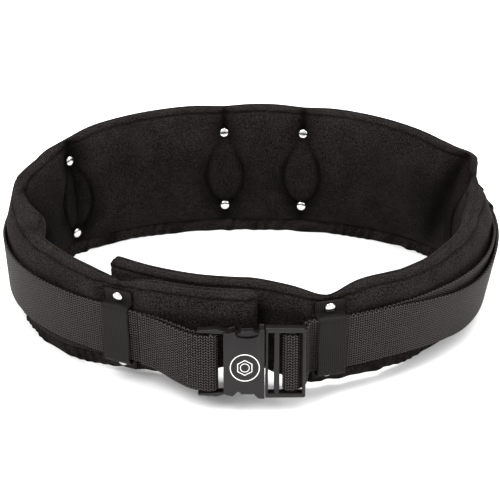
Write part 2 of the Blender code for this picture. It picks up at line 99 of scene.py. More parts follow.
# ---- web, keepers and rivets ----
WEB_WIDTH, WEB_THICK = 0.0508, 0.0024
WEB_OFFSET = 0.01065
LAYER = 0.0028
TAIL_START, TAIL_SPLIT, TAIL_END = -165.6, -77.0, -50.0
TAIL_BULGE, TAIL_BULGE_FROM, TAIL_BULGE_TO = 0.0030, -152.0, -84.0
TAIL_SAG = 0.0105
KEEPER_WIDTH, KEEPER_THICK, KEEPER_END = 0.0254, 0.0013, 0.0065
# the front keepers hang this much below the web
FRONT_SLACK = 0.0026
RIVET_RADIUS, RIVET_DOME = 0.00475, 0.0018
PINCHED_TOP_DROP = {
    "front_left": 0.0045,
    "rear_left": 0.0025,
    "back_left": 0.0018,
    "back_right": 0.0018,
    "rear_right": 0.0040,
    "front_right": 0.0100,
}
# name: (angle, layers of web beneath, body)
KEEPERS = {
    "front_left": (148.4, 1, "left_end"),
    "rear_left": (53.2, 1, "belt"),
    "back_left": (5.6, 1, "belt"),
    "back_right": (-12.4, 1, "belt"),
    "rear_right": (-77.0, 2, "belt"),
    "front_right": (-161.2, 2, "belt"),
}

# ---- buckle: u to +X, v up its height, w out towards the front ----
BUCKLE_AT = Vector((0.01006, -0.17021, 0.0455))
BUCKLE_LEAN = math.radians(6)
BAR_U = -0.044
BAR_RADIUS = 0.003
EMBLEM_AT, INK_THICK = (-0.0163, -0.0024, 0.00738), 0.00012
WEB_BAR = (0.0180, 0.0260)
GAP = 0.0003
# the left web: where it leaves the pad, where its sewn-back end lies, and the x of its two rows of stitches
WEB_LEAVES_PAD, SEWN_BACK_END = 156, 154.5
SEWN_AT = (-0.0535, -0.0765)


# ================================================================ materials


def shades(colour, *stops):
    """Colour ramp stops from (position, how many times the colour) pairs."""
    return [(at, tuple(c * times for c in colour)) for at, times in stops]


class Shader:
    """A Principled material and short ways to add nodes to it."""

    def __init__(self, name, roughness, metallic=0.0, **more):
        self.material = bpy.data.materials.new(name)
        self.material.use_nodes = True
        self.tree = self.material.node_tree
        self.principled = self.tree.nodes["Principled BSDF"]
        self.set("Roughness", roughness)
        self.set("Metallic", metallic)
        for socket, value in more.items():
            self.set(socket.replace("_", " "), value)

    def set(self, socket, value):
        """Sets an input of the Principled node, or links a node's output to it."""
        slot = self.principled.inputs[socket]
        if isinstance(value, bpy.types.NodeSocket):
            self.tree.links.new(value, slot)
        else:
            slot.default_value = value

    def node(self, kind, inputs=(), **settings):
        made = self.tree.nodes.new(kind)
        for key, value in settings.items():
            setattr(made, key, value)
        for key, value in dict(inputs).items():
            if isinstance(value, bpy.types.NodeSocket):
                self.tree.links.new(value, made.inputs[key])
            else:
                made.inputs[key].default_value = value
        return made

    def calc(self, operation, a, b=0.0, c=0.0):
        return self.node("ShaderNodeMath", {0: a, 1: b, 2: c}, operation=operation).outputs[0]

    def ramp(self, factor, stops):
        made = self.node("ShaderNodeValToRGB", {0: factor})
        points = made.color_ramp.elements
        while len(points) < len(stops):
            points.new(0.5)
        for point, (at, colour) in zip(points, stops):
            point.position = at
            point.color = (*colour, 1)
        return made.outputs[0]

    def noise(self, vector, scale, detail=3.0, rough=0.6):
        inputs = {"Vector": vector, "Scale": scale, "Detail": detail, "Roughness": rough}
        return self.node("ShaderNodeTexNoise", inputs).outputs[0]

    def coordinates(self):
        return self.node("ShaderNodeTexCoord").outputs["Object"]

    def uv(self):
        """Metres along the piece and metres across it."""
        found = self.node("ShaderNodeUVMap")
        split = self.node("ShaderNodeSeparateXYZ", {0: found.outputs[0]})
        return split.outputs[0], split.outputs[1]

    def bump(self, height, strength, distance):
        inputs = {"Height": height, "Strength": strength, "Distance": distance}
        self.set("Normal", self.node("ShaderNodeBump", inputs).outputs[0])


def canvas(name, light, pitch=0.0019):
    """Heavy nylon canvas: fine slanting ribs, broken up by flecks where the yarn catches the light, and
    darkened by painted shade read from an attribute.
    """
    s = Shader(name, 0.82, Specular_IOR_Level=0.03)
    u, v = s.uv()
    at = s.coordinates()
    turns = 2 * math.pi / pitch
    across = s.calc("ADD", s.calc("MULTIPLY", u, turns), s.calc("MULTIPLY", v, turns))
    weft = s.calc("SINE", s.calc("MULTIPLY", v, 2 * turns))
    weave = s.calc("MULTIPLY_ADD", weft, 0.3, s.calc("SINE", across))
    fleck = s.noise(at, 950.0, 2.0, 0.8)
    cloud = s.noise(at, 45.0, 4.0)
    shade = s.calc("ADD", s.calc("MULTIPLY", fleck, 0.85), s.calc("MULTIPLY", cloud, 0.15))
    shade = s.calc("MULTIPLY_ADD", weave, 0.055, shade)
    stops = shades(light, (0.42, 0.15), (0.50, 0.95), (0.61, 3.4))
    # painted shade: the colour is darkened by up to 80 % where the attribute marks creases, folds, the seam,
    # the hem line, the rivets and the lower lining
    painted_shade = s.node("ShaderNodeAttribute", attribute_name="painted_shade").outputs["Fac"]
    lit = s.calc("MULTIPLY_ADD", painted_shade, -0.8, 1.0)
    mixed = s.node("ShaderNodeVectorMath", {0: s.ramp(shade, stops), "Scale": lit}, operation="SCALE")
    s.set("Base Color", mixed.outputs[0])
    s.set("Roughness", s.calc("MULTIPLY_ADD", cloud, 0.2, 0.7))
    height = s.calc("MULTIPLY_ADD", weave, 0.5, fleck)
    s.bump(height, 0.6, 0.0004)
    return s.material


def webbing(name, light, column=0.0021, pitch=0.0024):
    """Heavy webbing: columns of slanting yarns that lean the other way in every second column. The raised
    yarns are painted much lighter than the gaps: partly the weave's own pattern, partly painted highlight and
    painted shade.
    """
    s = Shader(name, 0.62, Specular_IOR_Level=0.08)
    u, v = s.uv()
    at = s.coordinates()
    along = s.calc("DIVIDE", u, column)
    within = s.calc("FRACT", along)
    odd = s.calc("PINGPONG", s.calc("FLOOR", along), 1.0)
    side = s.calc("MULTIPLY_ADD", odd, 2.0, -1.0)
    slant = s.calc("MULTIPLY", side, s.calc("MULTIPLY", s.calc("SUBTRACT", within, 0.5), 0.9))
    across = s.calc("ADD", s.calc("DIVIDE", v, pitch), slant)
    yarn = s.calc("SINE", s.calc("MULTIPLY", across, 2 * math.pi))
    dome = s.calc("SINE", s.calc("MULTIPLY", within, math.pi))
    height = s.calc("MULTIPLY", s.calc("MULTIPLY_ADD", yarn, 0.5, 0.5), s.calc("POWER", dome, 0.6))
    wear = s.noise(at, 700.0, 2.0, 0.7)
    cloud = s.noise(at, 30.0, 3.0)
    # painted highlight and shade: the colour follows the yarns' height, up to 14 times lighter on the crests
    # and darker in the gaps
    shade = s.calc("MULTIPLY", height, s.calc("MULTIPLY_ADD", wear, 1.3, 0.25))
    shade = s.calc("ADD", shade, s.calc("MULTIPLY_ADD", cloud, 0.16, -0.08))
    s.set("Base Color", s.ramp(shade, shades(light, (0.22, 0.12), (0.45, 1.0), (0.68, 14.0))))
    s.set("Roughness", s.calc("MULTIPLY_ADD", wear, 0.25, 0.5))
    s.bump(height, 0.8, 0.0006)
    return s.material


def ribbed(name, light, rib=0.0017):
    """Narrow binding web: ribs that run along it, crossed by fine picks."""
    s = Shader(name, 0.6, Specular_IOR_Level=0.08)
    u, v = s.uv()
    at = s.coordinates()
    ridge = s.calc("ABSOLUTE", s.calc("SINE", s.calc("MULTIPLY", v, math.pi / rib)))
    pick = s.calc("SINE", s.calc("MULTIPLY", u, 2 * math.pi / 0.0008))
    wear = s.noise(at, 900.0, 2.0, 0.7)
    shade = s.calc("MULTIPLY", ridge, s.calc("MULTIPLY_ADD", wear, 0.9, 0.5))
    s.set("Base Color", s.ramp(shade, shades(light, (0.15, 0.35), (0.6, 1.0), (0.95, 2.6))))
    s.bump(s.calc("MULTIPLY_ADD", pick, 0.12, ridge), 0.5, 0.0003)
    return s.material


def acetal(name, colour):
    """Moulded plastic with a fine spark-eroded grain and faint handling wear."""
    s = Shader(name, 0.38, Specular_IOR_Level=0.20)
    at = s.coordinates()
    grain = s.noise(at, 2600.0, 2.0, 0.5)
    cloud = s.noise(at, 60.0, 3.0)
    s.set("Base Color", s.ramp(cloud, shades(colour, (0.3, 0.85), (0.7, 1.15))))
    s.set("Roughness", s.calc("MULTIPLY_ADD", cloud, 0.16, 0.25))
    s.bump(grain, 0.12, 0.0001)
    return s.material


def nickel(name):
    """Bright plated steel with a few fine scuffs."""
    s = Shader(name, 0.16, 1.0)
    at = s.coordinates()
    scuff = s.noise(at, 420.0, 4.0, 0.7)
    s.set("Base Color", s.ramp(scuff, [(0.3, (0.50, 0.49, 0.48)), (0.7, (0.66, 0.65, 0.64))]))
    s.set("Roughness", s.calc("MULTIPLY_ADD", scuff, 0.2, 0.08))
    s.bump(scuff, 0.05, 0.0001)
    return s.material


def thread(name, colour):
    """Twisted sewing thread."""
    s = Shader(name, 0.6, Sheen_Weight=0.2)
    at = s.coordinates()
    twist = s.noise(at, 2500.0, 2.0)
    s.set("Base Color", s.ramp(twist, shades(colour, (0.3, 0.7), (0.7, 1.4))))
    return s.material


def paint(name, colour):
    """Pad-printed ink."""
    s = Shader(name, 0.5)
    at = s.coordinates()
    worn = s.noise(at, 900.0, 3.0)
    s.set("Base Color", s.ramp(worn, shades(colour, (0.25, 0.8), (0.6, 1.0))))
    return s.material


CLOTH_LIGHT = (0.0080, 0.0068, 0.0062)
LOOKS = {
    "canvas": canvas("black_canvas", CLOTH_LIGHT),
    "web": webbing("black_webbing", (0.0043, 0.0037, 0.0034)),
    "keeper": ribbed("black_ribbed_tape", (0.0052, 0.0046, 0.0043)),
    "plastic": acetal("black_acetal", (0.0068, 0.0056, 0.0055)),
    "nickel": nickel("nickel_plate"),
    "thread": thread("black_thread", (0.004, 0.0036, 0.0034)),
    "ink": paint("pale_ink", (0.72, 0.71, 0.69)),
}


# ================================================================ the waist ring


def smooth(value, low, high):
    """0 before low, 1 after high, and an eased slope between. low may be the larger."""
    t = np.clip((np.asarray(value, float) - low) / (high - low), 0, 1)
    return t * t * (3 - 2 * t)


def plan(angle):
    """The pad's middle line seen from above, round its own centre."""
    a = np.radians(np.asarray(angle, float))
    s, c = np.sin(a), np.cos(a)
    power = np.where(c > 0, 2 / BACK_ROUNDNESS, 2 / FRONT_ROUNDNESS)
    depth = np.where(c > 0, BACK_DEPTH, FRONT_DEPTH)
    x = -HALF_WIDTH * np.sign(s) * np.abs(s) ** power
    y = depth * np.sign(c) * np.abs(c) ** power
    return np.stack((x, y, np.zeros_like(x)), -1)


def outward(angle):
    """The level direction that leaves the belt at right angles."""
    along = plan(np.asarray(angle) + 0.5) - plan(np.asarray(angle) - 0.5)
    across = np.stack((along[..., 1], -along[..., 0], np.zeros_like(along[..., 0])), -1)
    across /= np.linalg.norm(across, axis=-1, keepdims=True)
    side = np.sign((across * plan(angle)).sum(-1, keepdims=True))
    return across * np.where(side == 0, 1, side)


def right_hip(angle):
    """1 over the right hip, where the belt leans further out and sits closer, 0 elsewhere."""
    return smooth(angle, -79, -99) * smooth(angle, -152, -124)


def lean(angle):
    """How far the wall leans out towards its top, in radians."""
    c = np.cos(np.radians(np.asarray(angle, float)))
    end = np.where(c > 0, LEAN_BACK, LEAN_FRONT)
    return np.radians(LEAN_SIDE + (end - LEAN_SIDE) * c * c + HIP_LEAN * right_hip(angle))


def half_wall(angle):
    """Half the pad's height: tall at the back, low at the front."""
    share = 0.5 + 0.5 * np.cos(np.radians(np.asarray(angle, float)))
    return FRONT_HALF_HEIGHT + (BACK_HALF_HEIGHT - FRONT_HALF_HEIGHT) * share


def middle(angle):
    """The height of the web's middle line."""
    return half_wall(angle) + FRONT_CLIMB * smooth(np.abs(angle), 105, 150)


def inner_end(angle):
    """0 on the outer ring and 1 on the tongue that passes behind the left end."""
    return smooth(angle, -163.0, -181.0)


def belt_point(angle, z, offset=0.0):
    """The point at that angle and height, offset outwards from the pad's middle surface."""
    angle = np.asarray(angle, float)
    offset = offset + (z - middle(angle)) * np.tan(lean(angle)) + INNER_END_SHIFT * inner_end(angle)
    offset = offset - HIP_CLOSER * right_hip(angle)
    at = plan(angle) + outward(angle) * np.asarray(offset)[..., None]
    at[..., 2] = z
    return at + RING_CENTRE


def belt_up(angle):
    """The direction up the leaning wall."""
    up = belt_point(angle, 0.1) - belt_point(angle, 0.0)
    return up / np.linalg.norm(up, axis=-1, keepdims=True)


def per_degree(angle):
    """Length along the pad for one degree."""
    return np.linalg.norm(plan(np.asarray(angle) + 0.5) - plan(np.asarray(angle) - 0.5), axis=-1)


def rivet_reach(angle):
    """How far each rivet sits above or below the web's middle line."""
    return REAR_RIVET_REACH + (FRONT_RIVET_REACH - REAR_RIVET_REACH) * smooth(np.abs(angle), 95, 140)


def along_from(angle, at):
    """Signed length along the pad from the angle `at`."""
    return (angle - at) * per_degree((angle + at) / 2)


def pad_bottom(angle):
    """The height of the hem's lower edge."""
    left = 0.0135 * smooth(angle, 125, 162) + 0.012 * smooth(angle, 158, 176)
    right = 0.006 * smooth(angle, -130, -152) + 0.009 * inner_end(angle)
    return np.where(np.asarray(angle) > 0, left, right)


def pad_top(angle):
    """The height of the pad's upper edge, which dips at the keepers and rises at the right hip's corner."""
    angle = np.asarray(angle, float)
    top = 2 * half_wall(angle) + FRONT_TOP_CLIMB * smooth(np.abs(angle), 110, 160)
    for name, (at, _, _) in KEEPERS.items():
        near = np.exp(-((along_from(angle, at) / 0.020) ** 2))
        top = top - PINCHED_TOP_DROP[name] * near
    top = top + CORNER_RISE * np.exp(-(((angle - CORNER_AT) / 6) ** 2))
    top = top - 0.0035 * smooth(angle, 180.3, LEFT_END) ** 2
    return top - 0.007 * smooth(angle, RIGHT_END + 2.2, RIGHT_END) ** 2


# ================================================================ meshes


def mesh_from_grid(name, points, uvs, look, loop=True, caps=True):
    """A smooth mesh from a grid of points. loop joins the last column to the first, and uvs has one more."""
    rows, columns = points.shape[:2]
    steps = columns if loop else columns - 1
    faces, corners = [], []
    for r in range(rows - 1):
        for c in range(steps):
            d = (c + 1) % columns
            faces.append((r * columns + c, r * columns + d, (r + 1) * columns + d, (r + 1) * columns + c))
            corners += [uvs[r, c], uvs[r, c + 1], uvs[r + 1, c + 1], uvs[r + 1, c]]
    if caps:
        for r, turn in ((0, -1), (rows - 1, 1)):
            ring = list(range(r * columns, (r + 1) * columns))[::turn]
            faces.append(tuple(ring))
            corners += [uvs[r, i - r * columns] for i in ring]
    mesh = bpy.data.meshes.new(name)
    mesh.from_pydata(points.reshape(-1, 3).tolist(), [], faces)
    layer = mesh.uv_layers.new(name="UVMap")
    layer.data.foreach_set("uv", np.asarray(corners, np.float32).ravel())
    mesh.polygons.foreach_set("use_smooth", [True] * len(faces))
    mesh.materials.append(look)
    shape = bmesh.new()
    shape.from_mesh(mesh)
    bmesh.ops.recalc_face_normals(shape, faces=shape.faces)
    shape.to_mesh(mesh)
    shape.free()
    obj = bpy.data.objects.new(name, mesh)
    bpy.context.scene.collection.objects.link(obj)
    return obj


def joined(name, objects):
    """One object made of several, which are removed."""
    bpy.context.view_layer.update()
    shape = bmesh.new()
    looks = []
    for obj in objects:
        part = obj.data.copy()
        part.transform(obj.matrix_world)
        first = len(shape.faces)
        shape.from_mesh(part)
        shape.faces.ensure_lookup_table()
        look = obj.data.materials[0]
        if look not in looks:
            looks.append(look)
        for face in shape.faces[first:]:
            face.material_index = looks.index(look)
        bpy.data.objects.remove(obj)
    mesh = bpy.data.meshes.new(name)
    shape.to_mesh(mesh)
    shape.free()
    for look in looks:
        mesh.materials.append(look)
    made = bpy.data.objects.new(name, mesh)
    bpy.context.scene.collection.objects.link(made)
    return made


# ================================================================ the pad


def pinch_field(angle, z, inner):
    """0 to 1: how far the stuffing is squeezed out, round each rivet and up to the edge beyond it."""
    field = np.zeros(np.broadcast(angle, z).shape)
    for at, _, _ in KEEPERS.values():
        s = np.abs(along_from(angle, at))
        s = s / 0.0135 if inner else np.maximum(s - 0.0120, 0) / 0.0065
        for way in (1, -1):
            rise = (z - (middle(at) + way * rivet_reach(at))) * way
            spread = np.where(rise > 0, 0.020, 0.013)
            round_rivet = np.exp(-(s**2) - (rise / spread) ** 2)
            field = np.maximum(field, round_rivet)
    return field


def creases(angle, z, inner):
    """The lines that the rivets draw in the cloth, as a depth in metres."""
    depth = np.zeros(np.broadcast(angle, z).shape)
    for at, _, _ in KEEPERS.values():
        s = along_from(angle, at)
        reach, centre = rivet_reach(at), middle(at)
        beyond = smooth(np.abs(z - centre), reach, reach + 0.004)
        size, wide = (0.0036, 0.0030) if inner else (0.0016, 0.0022)
        depth += size * beyond * np.exp(-((s / wide) ** 2))
        if not inner:
            continue
        t = np.clip((centre + reach - z) / (2 * reach), 0, 1)
        half = 0.0188 * np.sin(np.pi * t**1.15) ** 0.8
        band = smooth(t, 0.0, 0.06) * smooth(t, 1.0, 0.94)
        lens = np.exp(-(((np.abs(s) - half) / 0.0023) ** 2)) * band * (0.35 + 0.65 * smooth(t, 0.0, 0.5))
        depth += 0.0034 * lens
        low = smooth(t, 0.15, 0.75)
        depth += 0.0016 * low * band * np.exp(-(((np.abs(s) - half - 0.006) / 0.007) ** 2))
    return depth


def folds(angle, z):
    """Creases and bulges of the lining where the pad turns over the hips, as a depth in metres."""
    depth = np.zeros(np.broadcast(angle, z).shape)
    high = z / (2 * half_wall(angle))
    for at, slant, size, wide in HIP_FOLDS:
        s = along_from(angle, at + slant * (high - 0.5))
        depth += size * np.exp(-np.abs(s) / wide) * smooth(high, 0.05, 0.45)
    for at, slant, size, wide in HIP_BULGES:
        s = along_from(angle, at + slant * (high - 0.5))
        depth -= size * np.exp(-((s / wide) ** 2)) * smooth(high, 0.25, 0.75)
    return depth


def tuck(angle, z):
    """How far the pad leans in above the web, most at its top edge."""
    high = np.clip((z / (2 * half_wall(angle)) - 0.62) / 0.38, 0, 1)
    return np.interp(angle, TUCK_ANGLES, TUCK_DEPTHS) * high**1.3


def lumps(angle, z, seed):
    """Low waves of the stuffing."""
    a = np.radians(angle)
    h = z / 0.1
    wide = np.sin(9 * a + 3 * h + seed) + 0.7 * np.sin(17 * a - 5 * h + 2 * seed)
    return LUMP_HEIGHT * (wide + 0.5 * np.sin(29 * a + 8 * h + 3 * seed))


def pad_section(angle):
    """Points round the pad at each angle, the length round it, and how much painted shade darkens the cloth
    at each point.

    The points go up the outside, over the top and down the inside.
    """
    angle = np.asarray(angle, float)[:, None]
    bottom, top = pad_bottom(angle), pad_top(angle)
    hem_top = bottom + HEM
    height = top - hem_top
    nearest_end = np.minimum(np.abs(angle - LEFT_END), np.abs(angle - RIGHT_END))
    ends = np.sqrt(np.clip(smooth(nearest_end, 0, END_ROUNDING), 0.02, 1))
    hem_share = np.linspace(0, 1, 8)[None, :]
    body_share = (0.5 - 0.5 * np.cos(np.linspace(0, np.pi, 56)))[None, :]
    columns, painted_shades = [], []
    for side in (1, -1):
        z = bottom + HEM * hem_share + 0 * angle
        turn = np.radians(angle)
        ripple = 0.0011 * np.sin(turn * 31 + 4.2 * np.sin(turn * 7)) * np.sin(turn * 11 + 1) * (1 - hem_share)
        ripple = ripple + 0.0005 * np.sin(turn * 83 + 5 * np.sin(turn * 13) + 3 * hem_share)
        hem = side * HEM_HALF * (1 - 0.25 * np.exp(-(((1 - hem_share) / 0.2) ** 2))) + ripple
        columns.append((z, hem))
        # painted shade on the hem: darker in the hollows of its ripples and along its top line
        painted_shades.append(np.clip(side * ripple / 0.0011, 0, 0.7) + 0.6 * smooth(hem_share, 0.75, 1.0))
        z = hem_top + height * body_share
        bulge = (1 - np.abs(2 * body_share - 1) ** 3.6) ** 0.5
        band = smooth(np.abs(z - middle(angle)), WEB_WIDTH / 2 - 0.003, WEB_WIDTH / 2 + 0.010)
        full = PAD_HALF + PAD_PUFF * band + lumps(angle, z, 1.0 if side > 0 else 2.3)
        if side < 0:
            full = PAD_HALF + LINING_PUFF + lumps(angle, z, 2.3)
        squeezed = pinch_field(angle, z, side < 0)
        half = full * (1 - squeezed) + PINCHED_HALF * squeezed
        half = HEM_HALF + (half * ends - HEM_HALF) * bulge
        seam = np.exp(-(((top - SEAM_BELOW_TOP - z) / 0.0009) ** 2))
        drawn = creases(angle, z, side < 0)
        # painted shade: darker in the rivet creases, along the seam and at the hem line
        painted_shade = np.clip(drawn / 0.0048, 0, 1) + 0.9 * seam + np.exp(-(((z - hem_top) / 0.0012) ** 2))
        half = half - drawn * bulge - SEAM_DEPTH * seam
        if side < 0:
            drawn = folds(angle, z)
            half = half - drawn * bulge
            # painted shade on the lining: darker in the folds, round the rivets and over its lower part
            shaded = smooth((z - bottom) / (top - bottom), 0.92, 0.55)
            painted_shade = painted_shade + np.clip(drawn / 0.0075, 0, 1) + 0.65 * squeezed + 0.42 * shaded
        z = z - 0.0012 * np.exp(-(((1 - body_share) / 0.0006) ** 2))
        columns.append((z, side * np.maximum(half, THINNEST_HALF) - tuck(angle, z)))
        painted_shades.append(np.clip(painted_shade, 0, 1))
    (z0, o0), (z1, o1), (z2, o2), (z3, o3) = columns
    z = np.concatenate((z0, z1, z3[:, ::-1], z2[:, ::-1]), 1)
    offset = np.concatenate((o0, o1, o3[:, ::-1], o2[:, ::-1]), 1)
    h0, h1, h2, h3 = painted_shades
    painted_shade = np.concatenate((h0, h1, h3[:, ::-1], h2[:, ::-1]), 1)
    points = belt_point(angle + 0 * z, z, offset)
    step = np.linalg.norm(np.diff(points, axis=1, append=points[:, :1]), axis=2)
    return points, np.concatenate((np.zeros((len(step), 1)), np.cumsum(step, 1)), 1), painted_shade


def make_pad(name, start, end, look):
    """One length of the pad. Its material reads the painted shade of its creases and hollows from an
    attribute.
    """
    count = int(abs(end - start) / PAD_STEP)
    angle = start + (end - start) * np.linspace(0, 1, count)
    points, around, painted_shade = pad_section(angle)
    lengths = per_degree((angle[1:] + angle[:-1]) / 2) * np.abs(np.diff(angle))
    along = np.cumsum(np.concatenate(([0], lengths)))
    uvs = np.stack((np.broadcast_to(along[:, None], around.shape), around.mean(0)[None, :] + 0 * around), -1)
    made = mesh_from_grid(name, points, uvs, look)
    # painted shade: how much the canvas colour is darkened at each point
    layer = made.data.attributes.new("painted_shade", "FLOAT", "POINT")
    layer.data.foreach_set("value", painted_shade.astype(np.float32).ravel())
    return made


# ================================================================ webbing


def smoothed(points, ups, step=0.0015):
    """Resamples a line of points and up directions evenly, on a Catmull-Rom curve."""
    p = np.asarray(points, float)
    q = np.asarray(ups, float)
    both = np.concatenate((p, q), 1)
    padded = np.concatenate((2 * both[:1] - both[1:2], both, 2 * both[-1:] - both[-2:-1]))
    found = []
    for i in range(1, len(padded) - 2):
        a, b, c, d = padded[i - 1 : i + 3]
        count = max(1, int(np.linalg.norm(c[:3] - b[:3]) / step))
        for t in np.arange(count) / count:
            square, cube = 2 * a - 5 * b + 4 * c - d, 3 * b - a - 3 * c + d
            found.append(0.5 * (2 * b + (c - a) * t + square * t**2 + cube * t**3))
    found.append(both[-1])
    found = np.array(found)
    ups = found[:, 3:] / np.linalg.norm(found[:, 3:], axis=1, keepdims=True)
    return found[:, :3], ups


def strap_outline(width, thick):
    """The cross-section of a strap: flat faces and rounded edges, as (across, out)."""
    flat = np.linspace(-width / 2 + thick / 2, width / 2 - thick / 2, 15)
    turn = np.linspace(-np.pi / 2, np.pi / 2, 6)[1:-1]
    top = [(a, thick / 2) for a in flat]
    right = [(width / 2 - thick / 2 + thick / 2 * math.cos(t), thick / 2 * math.sin(-t)) for t in turn]
    under = [(a, -thick / 2) for a in flat[::-1]]
    left = [(-width / 2 + thick / 2 - thick / 2 * math.cos(t), thick / 2 * math.sin(t)) for t in turn]
    return np.array(top + right + under + left)


def strap(name, points, ups, look, width=WEB_WIDTH, thick=WEB_THICK, start=0.0):
    """A strap along a line. ups is the direction across its width."""
    p, up = smoothed(points, ups)
    along = np.gradient(p, axis=0)
    face = np.cross(along, up)
    face /= np.linalg.norm(face, axis=1, keepdims=True)
    length = start + np.concatenate(([0], np.cumsum(np.linalg.norm(np.diff(p, axis=0), axis=1))))
    outline = strap_outline(width, thick)
    wobble = 0.0003 * np.sin(length * 160) + 0.0002 * np.sin(length * 410 + 1)
    stretch = 1 + wobble[:, None, None] / width
    grid = p[:, None] + up[:, None] * (outline[None, :, :1] * stretch) + face[:, None] * outline[None, :, 1:]
    across = np.append(outline[:, 0], outline[0, 0])
    uvs = np.stack(np.broadcast_arrays(length[:, None], across[None]), -1)
    return mesh_from_grid(name, grid, uvs, look)


def buckle_matrix():
    """The buckle's own axes: u to +X, v up its height and w out to the front."""
    v = Vector((0, math.sin(BUCKLE_LEAN), math.cos(BUCKLE_LEAN)))
    w = Vector((0, -math.cos(BUCKLE_LEAN), math.sin(BUCKLE_LEAN)))
    turn = Matrix((Vector((1, 0, 0)), v, w)).transposed()
    return Matrix.Translation(BUCKLE_AT) @ turn.to_4x4()


BUCKLE = buckle_matrix()
BUCKLE_UP = np.array(BUCKLE.col[1][:3])


def on_buckle(u, w):
    """A point at the buckle's middle height, in the model's frame."""
    return np.array(BUCKLE @ Vector((u, 0, w)))


def strap_angles(start, end, step=2.0):
    return np.linspace(start, end, max(3, int(abs(end - start) / step)))


def ring_line(start, end):
    """The web's middle line and up directions where it lies on the pad."""
    angle = strap_angles(start, end)
    return list(belt_point(angle, middle(angle), WEB_OFFSET + 0 * angle)), list(belt_up(angle))


def curve_between(p0, d0, p3, d3, up0, up3, count=6):
    """Points strictly between p0 and p3 on a curve that leaves along d0 and arrives along d3."""
    reach = np.linalg.norm(p3 - p0) / 3
    p1 = p0 + d0 / np.linalg.norm(d0) * reach
    p2 = p3 - d3 / np.linalg.norm(d3) * reach
    found, ups = [], []
    for t in np.arange(1, count) / count:
        s = 1 - t
        found.append(p0 * s**3 + 3 * p1 * s * s * t + 3 * p2 * s * t * t + p3 * t**3)
        ups.append(up0 * (1 - t) + up3 * t)
    return found, ups


def arc(u, w, radius, start, end, count=8):
    """Points of an arc round a bar of the buckle."""
    turns = np.radians(np.linspace(start, end, count + 1))
    return [on_buckle(u + radius * math.cos(a), w + radius * math.sin(a)) for a in turns]


def tail_wave(angle):
    """0 to 1 to 0 between the two keepers that hold the tail."""
    share = np.clip((angle - TAIL_BULGE_FROM) / (TAIL_BULGE_TO - TAIL_BULGE_FROM), 0, 1)
    return np.sin(np.pi * share) ** 2


def tail_line(start, end):
    """The tail's middle line: it hangs a little below the web beneath it."""
    angle = strap_angles(start, end)
    wave = tail_wave(angle)
    z = middle(angle) - TAIL_SAG * wave
    return list(belt_point(angle, z, WEB_OFFSET + LAYER + TAIL_BULGE * wave)), list(belt_up(angle))


def stitches_across(points, ups, x):
    """A row of stitches across the outer layer of the left web, where it passes that x."""
    p, up = smoothed(points, ups)
    outer = len(p) // 2
    i = outer + int(np.argmin(np.abs(p[outer:, 0] - x)))
    face = np.cross(p[i + 1] - p[i - 1], up[i])
    face *= -math.copysign(1, face[1]) / np.linalg.norm(face)
    row = [p[i] + up[i] * v + face * (WEB_THICK / 2 + 0.0001) for v in np.linspace(-0.0235, 0.0235, 9)]
    return stitch_row(row, LOOKS["thread"])


def make_left_web(look):
    """The left web: along the pad, round the socket's bar, and back over itself to its sewn end."""
    radius = BAR_RADIUS + GAP + WEB_THICK / 2
    points, ups = ring_line(SPLIT, WEB_LEAVES_PAD)
    forwards = points[-1] - points[-2]
    behind, front = on_buckle(BAR_U - 0.004, -radius), on_buckle(BAR_U - 0.004, radius)
    back_end = belt_point(SEWN_BACK_END, middle(SEWN_BACK_END), WEB_OFFSET + LAYER + GAP)
    into, into_ups = curve_between(points[-1], forwards, behind, np.array((1.0, 0, 0)), ups[-1], BUCKLE_UP)
    away, away_ups = curve_between(front, np.array((-1.0, 0, 0)), back_end, -forwards, BUCKLE_UP, ups[-1])
    loop = arc(BAR_U, 0, radius, -90, 90, 8)
    points += into + [behind] + loop + [front] + away + [back_end]
    ups += into_ups + [BUCKLE_UP] * (len(loop) + 2) + away_ups + [ups[-1]]
    web = strap("web_left_and_loop", points, ups, look)
    rows = [row for x in SEWN_AT for row in stitches_across(points, ups, x)]
    return joined("web_left_and_loop", [web, *rows])


def make_right_web(look):
    """The right web: along the pad, up and over the plug's web bar, and back over itself as the tail."""
    points, ups = ring_line(SPLIT, TAIL_START)
    leftwards = points[-1] - points[-2]
    beneath, turn_in = on_buckle(0.0250, -0.0068), on_buckle(0.0172, -0.0052)
    over = arc(0.0190, 0, 0.0030, 205, 110, 4) + [on_buckle(0.022, 0.0037)] + arc(0.0250, 0, 0.0030, 70, 5, 4)
    out = on_buckle(0.0316, -0.0036)
    tail, tail_ups = tail_line(TAIL_START, TAIL_SPLIT)
    into, into_ups = curve_between(points[-1], leftwards, beneath, np.array((-1.0, 0, 0)), ups[-1], BUCKLE_UP)
    rightwards = np.array((1.0, 0.1, 0))
    away, away_ups = curve_between(out, rightwards, tail[0], tail[1] - tail[0], BUCKLE_UP, tail_ups[0], 4)
    points += into + [beneath, turn_in] + over + [out] + away + tail
    ups += into_ups + [BUCKLE_UP] * (3 + len(over)) + away_ups + tail_ups
    return strap("web_right_and_tail", points, ups, look)


def make_tail_end(look):
    """The tail's free end, past the rear keeper."""
    points, ups = tail_line(TAIL_SPLIT, TAIL_END)
    return strap("web_tail_end_flap", points, ups, look, start=0.9)


